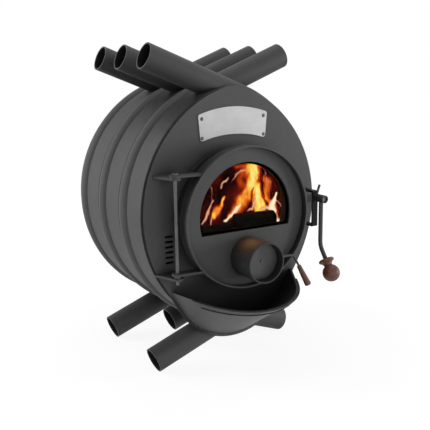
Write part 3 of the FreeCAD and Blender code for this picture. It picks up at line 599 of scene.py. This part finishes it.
def braided_rope():
    """Rope of the door seal: twisted yarns round the same ring as the solid rope."""
    low, high = reach("rope_seal")
    thick = high.y - low.y
    ring = (high.x - low.x - thick) / 2
    yarn = 0.19 * thick
    swing = thick / 2 - yarn
    middle = (low.y + high.y) / 2
    yarns = 6
    turns = 34
    steps = 620
    skins = []
    for k in range(yarns):
        path = []
        for i in range(steps):
            t = 2 * math.pi * i / steps
            twist = turns * t + 2 * math.pi * k / yarns
            radius = ring + swing * math.cos(twist)
            path.append(at(radius * math.cos(t), middle + swing * math.sin(twist), radius * math.sin(t)))
        skins.append(skin(path, lambda i: rounded(yarn * MM * 1.08, 7), lambda i: ALONG_Y, closed=True))
    made = piece("braided_rope", *joined(skins), "door", finishes["seal_rope"])
    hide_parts("rope_seal")
    return made


def gasket_tape():
    """Ribbed flat tape between the door and the glass, round the window."""
    low, high = reach("glass_gasket")
    inset = 3.0
    radius = (high.x - low.x) / 2 - inset
    centre = high.z - inset - radius
    sill = low.z + inset
    y = (low.y + high.y) / 2
    drop = math.asin((centre - sill) / radius)
    count = 260
    turns = [-drop + (math.pi + 2 * drop) * k / count for k in range(count + 1)]
    path = [at(radius * math.cos(t), y, centre + radius * math.sin(t)) for t in turns]
    path += line(path[-1], path[0], 1.6)[1:-1]
    thick = 0.46 * (high.y - low.y)
    wide = inset - 0.4
    corners = [math.pi * k / 6 for k in range(12)]

    def section(i):
        rib = thick * (0.9 + 0.1 * math.cos(math.pi * i))
        return [(MM * wide * math.cos(t), MM * rib * math.sin(t)) for t in corners]
    tape = skin(path, section, lambda i: ALONG_Y, closed=True)
    made = piece("gasket_tape", *tape, "door", finishes["seal_rope"])
    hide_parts("glass_gasket")
    return made


braided_rope()
gasket_tape()

# The fire: ash, embers, logs and flames, all behind the front plate
char = charred_wood("charred_wood")
ash = ember_bed("ember_bed")
ASH_LEVEL = -181
ASH_UNDERSIDE = -184
ASH_HALF_WIDTH = 66
ASH_CROWN = 14


def log(name, middle, along, length, radius):
    """Charred log with an uneven, cracked outline."""
    ahead = Vector(along).normalized()
    inner = [(k / 24 - 0.5) * length for k in range(25)]
    stations = [inner[0] + 3, inner[0]] + inner + [inner[-1], inner[-1] - 3]
    swell = [0.35, 0.86] + [1.0] * len(inner) + [0.86, 0.35]
    path = [at(*middle) + ahead * MM * (s + 0.01 * k) for k, s in enumerate(stations)]
    sides = 30
    own_noise = Vector(middle) * 0.05

    def section(i):
        ring = []
        for k in range(sides):
            t = 2 * math.pi * k / sides
            spot = Vector((math.cos(t) * 1.6, math.sin(t) * 1.6, stations[i] * 0.012)) + own_noise
            r = radius * swell[i] * (1 + 0.16 * noise.noise(spot) + 0.07 * noise.noise(spot * 4))
            ring.append((r * MM * math.cos(t), r * MM * math.sin(t)))
        return ring
    return piece(name, *skin(path, section, lambda i: Vector((0.05, 0.02, 1))), "stove", char)


def ash_rise(x):
    """Height of the ash above its edges, at a distance from the middle."""
    return ASH_CROWN * (1 - (x / ASH_HALF_WIDTH) ** 2)


def ash_bed():
    """Bed of ash along the bottom of the drum, higher in the middle."""
    columns = 34
    rows = 80
    vertices = []
    for i in range(rows + 1):
        for k in range(columns + 1):
            x = -ASH_HALF_WIDTH + 2 * ASH_HALF_WIDTH * k / columns
            y = 16 + 330 * i / rows
            lift = ash_rise(x) + 5 * noise.noise(Vector((x, y, 0)) * 0.05)
            vertices.append(at(x, y, ASH_LEVEL + lift + 2.5 * noise.noise(Vector((x, y, 9)) * 0.16)))
    faces = grid(rows, columns)
    edge = list(range(columns + 1))
    edge += [i * (columns + 1) + columns for i in range(1, rows + 1)]
    edge += [rows * (columns + 1) + k for k in range(columns - 1, -1, -1)]
    edge += [i * (columns + 1) for i in range(rows - 1, 0, -1)]
    start = len(vertices)
    vertices += [Vector((vertices[k].x, vertices[k].y, at(0, 0, ASH_UNDERSIDE).z)) for k in edge]
    for n in range(len(edge)):
        following = (n + 1) % len(edge)
        faces.append((edge[n], start + n, start + following, edge[following]))
    faces.append(tuple(reversed(range(start, len(vertices)))))
    return piece("ash_bed", vertices, faces, "stove", ash)


def embers(count):
    """Lumps of glowing charcoal lying in the ash."""
    pick = random.Random(7)
    skins = []
    for n in range(count):
        size = pick.uniform(4, 9)
        x = pick.uniform(-52, 52)
        y = pick.uniform(24, 330)
        z = ASH_LEVEL + ash_rise(x) + size * 0.4
        path = [at(x, y, z + size * h) for h in (-0.8, -0.5, 0.0, 0.5, 0.8)]
        waist = [0.35, 0.8, 1.0, 0.75, 0.35]

        def section(i):
            ring = rounded(size * MM * waist[i], 9)
            return [(a * (1 + 0.5 * noise.noise(Vector((a, b, n)) * 300)), b) for a, b in ring]
        skins.append(skin(path, section, lambda i: ALONG_Y))
    return piece("embers", *joined(skins), "stove", ash)


# Step from one part of the noise to another that has nothing to do with it
UNLIKE = Vector((31.4, 47.1, 12.6))


def closeness(x, z, spine):
    """1 on a flame's spine, less away from it. A spine's points are x, z and half-width in millimetres."""
    best = 0
    for (ax, az, a), (bx, bz, b) in zip(spine, spine[1:]):
        dx, dz = bx - ax, bz - az
        t = min(1, max(0, ((x - ax) * dx + (z - az) * dz) / (dx * dx + dz * dz)))
        away = math.hypot(x - ax - t * dx, z - az - t * dz) / (a + t * (b - a))
        best = max(best, math.exp(-away ** 3) if away < 3 else 0)
    return best


def together(x, z, flames):
    """Strength of several flames at one place, from their own strengths and spines."""
    dark = 1
    for strength, spine in flames:
        dark *= 1 - strength * closeness(x, z, spine)
    return 1 - dark


def gas_at(x, y, z, hot, cool, pale):
    """How hot and how pale the gas is at a place, with the flames bent by the draught."""
    spot = Vector((x, z * 0.7, y))
    drift = noise.noise(spot * 0.03)
    u = x + 3 * drift + 3.5 * noise.noise(spot * 0.1) + 2 * noise.noise(spot * 0.25)
    v = z + 3 * noise.noise(spot * 0.03 + UNLIKE) + 3.5 * noise.noise(spot * 0.1 + UNLIKE)
    smoke = 0.08 + 0.16 * drift
    warmth = smoke + (1 - smoke) * together(u, v, hot)
    return max(0, warmth * (1 - together(u, v, cool))), together(u, v, pale)


def fire_curtain(name, y, hot, cool, pale):
    """Rippled curtain of burning gas across the firebox: hot flames, cool gaps and pale tongues."""
    columns = 220
    rows = 138
    foot, top = -78, 150
    vertices = []
    marks = {key: [] for key in GAS_MARKS}
    for i in range(rows + 1):
        z = foot + (top - foot) * i / rows
        # Both edges lean in, as the drum does
        left = -150 + 0.5 * max(0, z - 60)
        right = 213 - 0.6 * max(0, z - 10)
        for k in range(columns + 1):
            x = left + (right - left) * k / columns
            vertices.append(at(x, y + 3 * math.sin(x * 0.06) + 2 * math.sin(z * 0.09), z))
            warmth, paleness = gas_at(x, y, z, hot, cool, pale)
            marks["warmth"].append(warmth)
            marks["pale"].append(paleness)
            marks["cover"].append(min(1, (x - left) / 40, (right - x + 4) / 8, (top - z) / 40))
    made = piece(name, vertices, grid(rows, columns), "stove", burning_gas("burning_gas"))
    for key, values in marks.items():
        made.data.attributes.new(key, "FLOAT", "POINT").data.foreach_set("value", values)
    made.visible_shadow = False
    return made


log("log_low_left", (-40, 150, -126), (0.08, 1, 0.02), 250, 36)
log("log_low_right", (40, 152, -130), (-0.06, 1, 0), 236, 33)
log("log_cross_front", (0, 66, -68), (1, 0.1, 0.04), 226, 29)
log("log_cross_back", (-4, 170, -70), (1, -0.12, -0.03), 214, 30)
log("log_upper", (86, 47, -36), (1, 0.06, -0.05), 108, 19)
log("log_slanted", (-34, 112, -34), (0.55, 0.8, 0.12), 150, 17)
ash_bed()
embers(46)

# Flames, the gaps between them and the pale tongues, each as its strength and its spine
HOT_FLAMES = [
    (0.8, [(100, 100, 12), (98, 69, 10), (95, 47, 9), (109, 33, 9), (115, 15, 10), (119, 0, 13),
           (120, -20, 18)]),
    (0.85, [(98, 138, 12), (100, 104, 22), (98, 69, 20), (95, 47, 18), (106, 33, 17), (113, 15, 18),
            (117, -1, 22)]),
    (0.6, [(92, 45, 12), (88, 35, 13), (78, 23, 14), (64, 9, 14), (50, -8, 12), (32, -23, 8)]),
    (0.3, [(90, 10, 9), (76, 1, 12), (66, -7, 10)]),
    (0.36, [(86, 84, 12), (68, 75, 10), (58, 60, 8), (66, 44, 8)]),
    (0.48, [(129, 57, 8), (140, 44, 11), (140, 30, 11), (137, 17, 11), (141, 2, 8)]),
    (0.75, [(20, 20, 3), (12, 5, 5), (-2, -8, 11), (-14, -19, 7)]),
    (0.35, [(55, 92, 9), (75, 97, 10), (101, 99, 10), (128, 92, 10)]),
    (0.7, [(160, 4, 5), (152, -12, 11), (158, -30, 10), (166, -46, 7)]),
    (0.85, [(-70, -50, 16), (-82, -12, 13), (-74, 22, 8), (-84, 60, 2)]),
    (0.7, [(-116, -50, 10), (-110, -18, 9), (-120, 18, 2)]),
]
COOL_GAPS = [
    (0.5, [(98, 38, 1.5), (97, 21, 3.5), (94, 4, 5), (84, -7, 6)]),
    (0.6, [(125, 62, 1.5), (126, 42, 2.5), (129, 24, 3), (135, 3, 4), (138, -9, 4)]),
    (0.9, [(72, -34, 9), (46, -44, 8), (20, -54, 7)]),
    (0.25, [(50, 100, 9), (100, 103, 11), (140, 96, 9)]),
]
PALE_FLAMES = [
    (1.0, [(167, 17, 1), (160, 0, 6), (152, -13, 10), (158, -28, 8), (166, -44, 6), (182, -63, 2)]),
    (0.9, [(62, 2, 2), (51, -9, 4), (37, -20, 3.5), (20, -34, 4.5)]),
    (0.5, [(80, -14, 2.5), (92, -10, 3.5), (100, -2, 3), (105, 10, 2.5), (104, 22, 1)]),
    (0.55, [(119, -18, 2.5), (136, -17, 3.5), (147, -21, 4), (157, -34, 4)]),
    (0.3, [(142, 54, 2), (151, 46, 2.5), (153, 38, 2), (148, 29, 2), (147, 17, 1.5), (150, 5, 1)]),
    (0.3, [(133, 79, 1.5), (136, 69, 2), (129, 60, 1.5)]),
    (0.5, [(163, 1, 1.5), (182, -19, 1)]),
    (0.5, [(-16, -18, 2), (-20, -30, 2), (-20, -46, 1)]),
    (0.5, [(-13, 15, 1.5), (-23, 0, 3.5), (-34, -19, 4), (-45, -33, 3)]),
    (0.35, [(-21, 52, 1.2), (-13, 16, 1.5)]),
    (0.55, [(32, 67, 1.5), (21, 58, 2.5), (9, 52, 2.5), (9, 42, 1.5)]),
    (0.45, [(82, 80, 2), (66, 79, 2.5), (52, 71, 2), (41, 59, 1.2)]),
]
fire_curtain("fire_curtain", 70, HOT_FLAMES, COOL_GAPS, PALE_FLAMES)

# Camera as in the photograph
camera_data = bpy.data.cameras.new("camera")
camera_data.sensor_width = 36.0
camera_data.lens = 56.54
camera_data.shift_y = 0.0036
camera = bpy.data.objects.new("camera", camera_data)
bpy.context.scene.collection.objects.link(camera)
view_right = Vector((0.858, -0.5134, -0.015))
view_up = Vector((0.1224, 0.1761, 0.9767))
view_back = Vector((-0.4988, -0.8399, 0.2139))
turn = Matrix((view_right, view_up, view_back)).transposed().to_4x4()
camera.matrix_world = Matrix.Translation(at(-785.3, -1240.0, 313.4)) @ turn
bpy.context.scene.camera = camera


def lamp(name, kind, place, target, power, colour=(1.0, 1.0, 1.0), **settings):
    """Lamp that looks at a target and isn't seen itself."""
    data = bpy.data.lights.new(name, kind)
    data.energy = power
    data.color = colour
    for key, value in settings.items():
        setattr(data, key, value)
    made = bpy.data.objects.new(name, data)
    made.location = place
    made.rotation_euler = (Vector(target) - Vector(place)).to_track_quat("-Z", "Y").to_euler()
    made.visible_camera = False
    made.visible_transmission = False
    bpy.context.scene.collection.objects.link(made)
    return made


lamp("key_left_rear", "AREA", (-1.8, 1.5, 1.15), (0, 0.1, 0.4), 28, shape="RECTANGLE", size=1.0, size_y=2.2)
lamp("right", "AREA", (2.3, -1.3, 0.5), (0, -0.1, 0.35), 26, size=0.8)
lamp("front", "AREA", (-0.3, -2.6, 0.4), (0, 0, 0.3), 20, size=1.8)
lamp("top", "AREA", (0.2, 0.2, 2.6), (0, 0, 0.4), 16, size=1.8)
lamp("low_left", "AREA", (-1.6, 0.2, 0.06), (-0.1, 0.1, 0.3), 3, size=0.8)
fire_colour = (1.0, 0.14, 0.02)
lamp("fire_light", "POINT", at(60, 120, 40), at(60, 0, 40), 0.2, fire_colour, shadow_soft_size=0.03)
lamp("fire_glow", "SPOT", at(-30, -74, 22), at(-16, -92, -48), 0.4, (1.0, 0.42, 0.1),
     shadow_soft_size=0.02, spot_size=0.9, spot_blend=1.0)


def seen_directly(tree):
    """1 for rays from the camera, a reflection or through glass, 0 for the rest."""
    rays = tree.nodes.new("ShaderNodeLightPath").outputs
    last = rays["Is Camera Ray"]
    for name in ("Is Glossy Ray", "Is Transmission Ray"):
        either = tree.nodes.new("ShaderNodeMath")
        either.operation = "MAXIMUM"
        tree.links.new(last, either.inputs[0])
        tree.links.new(rays[name], either.inputs[1])
        last = either.outputs[0]
    return last


def studio_world(level):
    """White all round where it is seen, and a plain light elsewhere."""
    world = bpy.data.worlds.new("studio")
    bpy.context.scene.world = world
    world.use_nodes = True
    tree = world.node_tree
    strength = tree.nodes.new("ShaderNodeMapRange")
    strength.inputs["To Min"].default_value = level
    tree.links.new(seen_directly(tree), strength.inputs["Value"])
    background = tree.nodes["Background"].inputs
    tree.links.new(strength.outputs["Result"], background["Strength"])
    background["Color"].default_value = (1, 1, 1, 1)


def pale_floor():
    """White floor that keeps a faint shadow."""
    mesh = bpy.data.meshes.new("floor")
    mesh.from_pydata([(-9, -9, 0), (9, -9, 0), (9, 9, 0), (-9, 9, 0)], [], [(0, 1, 2, 3)])
    made = bpy.data.objects.new("floor", mesh)
    bpy.context.scene.collection.objects.link(made)
    s = Shader("pale_floor")
    speck = s.noise(40.0, 3.0)
    white = s.mix(s.span(speck, 0.3, 0.7), grey(0.9), grey(0.92))
    s.finish(Base_Color=white, Roughness=0.9, Specular_IOR_Level=0.1)
    away = s.node("VectorMath", {0: s.place}, operation="LENGTH").outputs["Value"]
    level = s.span(away, 0.4, 1.0, 0.9, 1.0, "SMOOTHSTEP")
    glow = s.node("Emission", {"Color": (1, 1, 1, 1), "Strength": level}).outputs[0]
    shadow = s.node("BsdfDiffuse", {"Color": grey(0.22)}).outputs[0]
    shown = s.node("AddShader", {0: glow, 1: shadow}).outputs[0]
    either = s.node("MixShader", {0: seen_directly(s.tree), 1: s.surface.outputs[0], 2: shown}).outputs[0]
    s.tree.links.new(either, s.tree.nodes["Material Output"].inputs["Surface"])
    mesh.materials.append(s.material)


studio_world(0.02)
pale_floor()
bpy.context.scene.view_settings.view_transform = "Standard"
